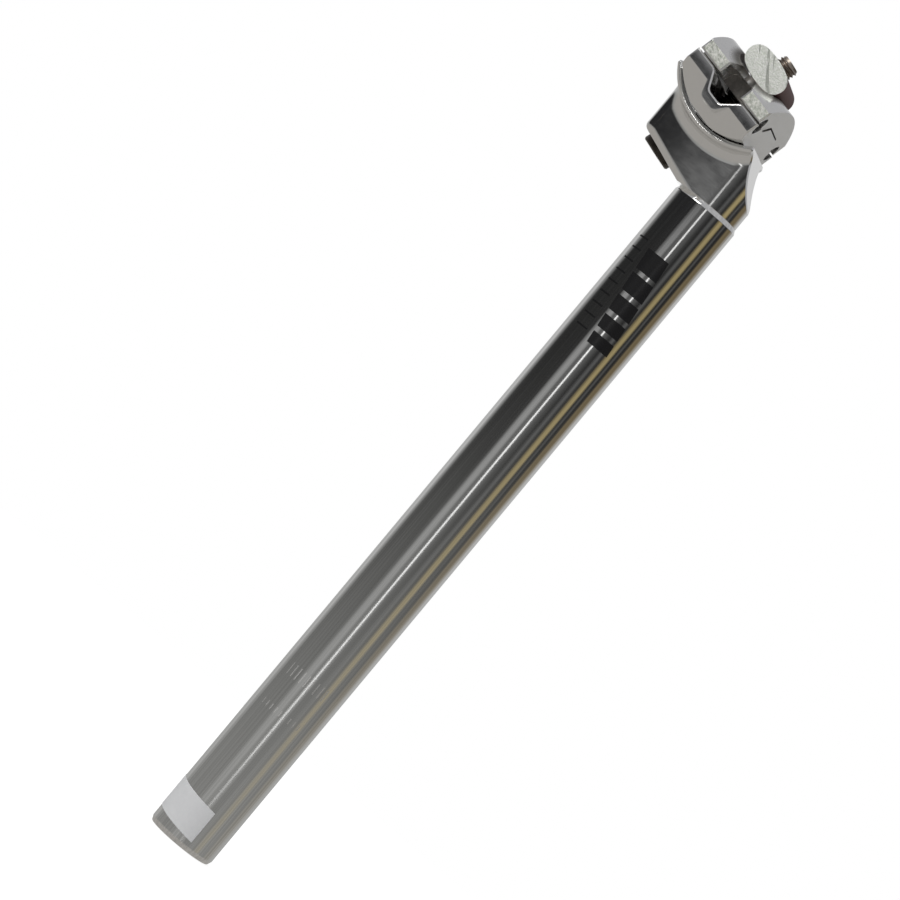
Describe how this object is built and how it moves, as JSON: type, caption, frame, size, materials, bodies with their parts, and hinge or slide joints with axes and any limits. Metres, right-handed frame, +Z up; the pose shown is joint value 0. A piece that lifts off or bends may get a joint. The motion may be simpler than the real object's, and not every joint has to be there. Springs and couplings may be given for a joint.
{
  "type": "bicycle seatpost",
  "caption": "Polished straight seatpost tube with a bonded setback head and a one-bolt, two-piece clamp that tilts in a curved socket and grips the saddle's rails.",
  "frame": {"origin": "on the tube's axis, in the plane of the tube's foot; the shank mount's point is where the foot bevel ends, 1.5 mm above", "axes": "+Z up along the tube, +X to the front of the bicycle, +Y to the left"},
  "size_m": [0.0491, 0.054, 0.3335],
  "materials": {
    "polished_alloy": "mirror polished",
    "forged_alloy": "polished, with ground faces",
    "sawn_alloy": "polished, with sawn ends",
    "black_steel": "black oxide",
    "plain_steel": "zinc plated"
  },
  "bodies": {
    "post": {"post_tube": "polished_alloy", "post_head": "forged_alloy", "bolt_washer": "plain_steel"},
    "cradle": {"lower_cradle": "forged_alloy"},
    "jaw": {"upper_clamp": "forged_alloy"},
    "nut": {"clamp_nut": "sawn_alloy"},
    "bolt": {"clamp_bolt": "black_steel"}
  },
  "joints": [
    {"name": "saddle_tilt", "type": "hinge", "parent": "post", "child": "cradle", "pos_m": [-0.01275, 0, 0.322], "axis": [0, 1, 0], "range_deg": [-4, 11.5]},
    {"name": "bolt_turn", "type": "hinge", "parent": "post", "child": "bolt", "pos_m": [-0.01275, 0, 0.322], "axis": [-0.3007, 0, -0.9537], "range_deg": [0, 2160]},
    {"name": "nut_travel", "type": "slide", "parent": "post", "child": "nut", "axis": [0.3007, 0, 0.9537], "range_m": [0, 0.0075]},
    {"name": "jaw_lift", "type": "slide", "parent": "cradle", "child": "jaw", "axis": [0.2385, 0, 0.9711], "range_m": [0, 0.00525]}
  ],
  "couplings": [
    {"joint": "bolt_turn", "follows": "nut_travel", "rad_per_m": 5026.5},
    {"joint": "jaw_lift", "follows": "nut_travel", "ratio": 0.7}
  ]
}
